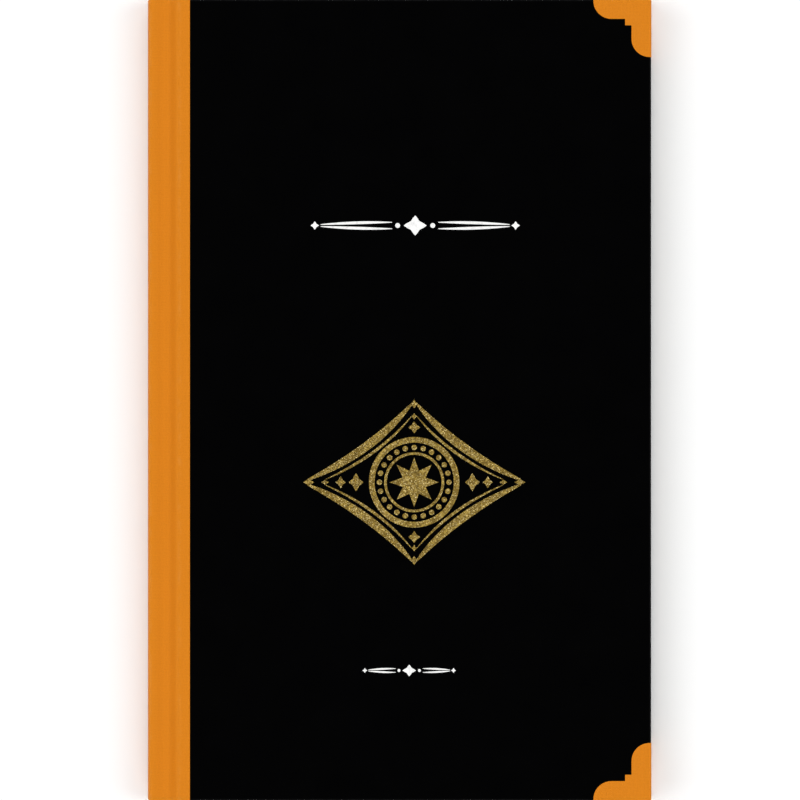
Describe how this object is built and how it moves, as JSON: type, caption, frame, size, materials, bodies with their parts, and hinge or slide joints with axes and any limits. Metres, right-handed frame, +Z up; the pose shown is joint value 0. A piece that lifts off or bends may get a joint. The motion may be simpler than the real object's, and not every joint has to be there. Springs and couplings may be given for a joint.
{
  "type": "hardcover book",
  "caption": "Slim hardcover book lying closed: black boards with an orange spine and scalloped corners, hinged front and back covers, block of leaves and headbands.",
  "frame": {"origin": "on the table, under the middle of the closed book's bounding box", "axes": "+Z up out of the front cover, +Y towards the head of the book, spine at -X and fore-edge at +X"},
  "size_m": [0.151, 0.24, 0.0126],
  "materials": {
    "cover_paper": "black coated paper, satin",
    "spine_cloth": "orange coated book cloth, satin",
    "leaf_paper": "uncoated cream book paper",
    "headband_cloth": "woven cotton in two colours",
    "endpaper": "plain uncoated endpaper",
    "gold_foil": "glittering gold foil",
    "white_print": "white print, matt"
  },
  "bodies": {
    "book_block": {"text_block": "leaf_paper", "spine": "spine_cloth", "headband_head": "headband_cloth", "headband_tail": "headband_cloth"},
    "front_cover": {"front_board": "cover_paper", "front_corner_head": "spine_cloth", "front_corner_tail": "spine_cloth", "front_joint": "spine_cloth"},
    "back_cover": {"back_board": "cover_paper", "back_corner_head": "spine_cloth", "back_corner_tail": "spine_cloth", "back_joint": "spine_cloth"}
  },
  "joints": [
    {"name": "front_hinge", "type": "hinge", "parent": "book_block", "child": "front_cover", "pos_m": [-0.0729, 0, 0.0113], "axis": [0, -1, 0], "range_deg": [0, 180]},
    {"name": "back_hinge", "type": "hinge", "parent": "book_block", "child": "back_cover", "pos_m": [-0.0729, 0, 0.0013], "axis": [0, 1, 0], "range_deg": [0, 180]}
  ]
}
